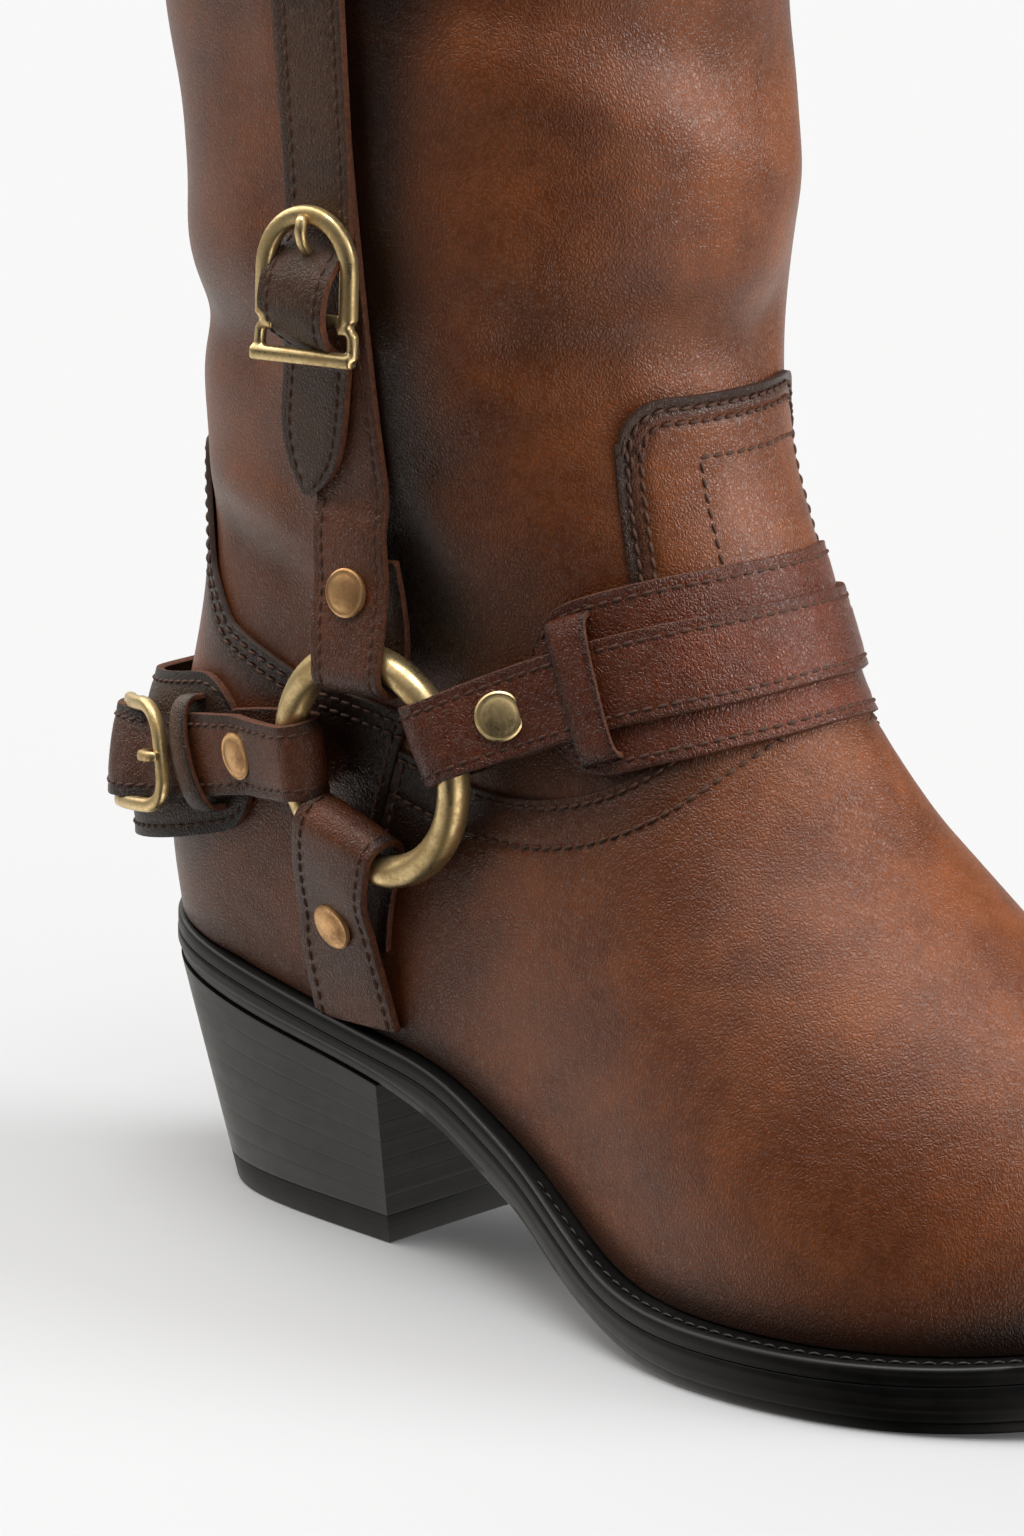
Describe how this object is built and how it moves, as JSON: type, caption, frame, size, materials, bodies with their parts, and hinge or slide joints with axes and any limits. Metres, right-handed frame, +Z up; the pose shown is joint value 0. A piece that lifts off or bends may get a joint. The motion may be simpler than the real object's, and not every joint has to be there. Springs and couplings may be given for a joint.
{
  "type": "boot",
  "caption": "Right-foot leather harness boot with a mid-calf shaft, almond toe, block heel, welted sole and brass-ringed straps with buckles; worn on the foot.",
  "frame": {"origin": "centre of the heel's ground face", "axes": "+X to the toe, +Y to the inner (medial) side, +Z up; the sole's ground plane is Z = 0"},
  "size_m": [0.2503, 0.1083, 0.305],
  "materials": {
    "upper_leather": "burnished cognac to dark brown, fine grain, semi-gloss",
    "strap_leather": "dark brown, waxed, raw cut edges",
    "antique_brass": "antique, lightly worn",
    "sole_edge": "black dyed edge, satin",
    "heel_stack": "black dyed stacked layers, satin",
    "top_lift": "matte",
    "insole": "plain, matte"
  },
  "bodies": {
    "root": {"counter": "upper_leather", "heel_base": "strap_leather", "heel_buckle": "antique_brass", "heel_keeper": "strap_leather", "heel_prong": "antique_brass", "heel_stack": "heel_stack", "heel_strap_lateral": "strap_leather", "heel_strap_medial": "strap_leather", "heel_top_lift": "top_lift", "insole": "insole", "instep_base": "strap_leather", "instep_keeper_lateral": "strap_leather", "instep_keeper_medial": "strap_leather", "instep_strap": "strap_leather", "outsole": "sole_edge", "ring_lateral": "antique_brass", "ring_medial": "antique_brass", "rivet_heel_lateral": "antique_brass", "rivet_heel_medial": "antique_brass", "rivet_instep_lateral": "antique_brass", "rivet_instep_medial": "antique_brass", "rivet_shaft_lateral": "antique_brass", "rivet_shaft_medial": "antique_brass", "rivet_sole_lateral": "antique_brass", "rivet_sole_medial": "antique_brass", "shaft_billet": "strap_leather", "shaft_buckle": "antique_brass", "shaft_prong": "antique_brass", "shaft_strap_lateral": "strap_leather", "shaft_strap_medial": "strap_leather", "sole_strap_lateral": "strap_leather", "sole_strap_medial": "strap_leather", "tongue": "upper_leather", "upper": "upper_leather", "vamp": "upper_leather", "welt": "sole_edge"}
  },
  "joints": []
}
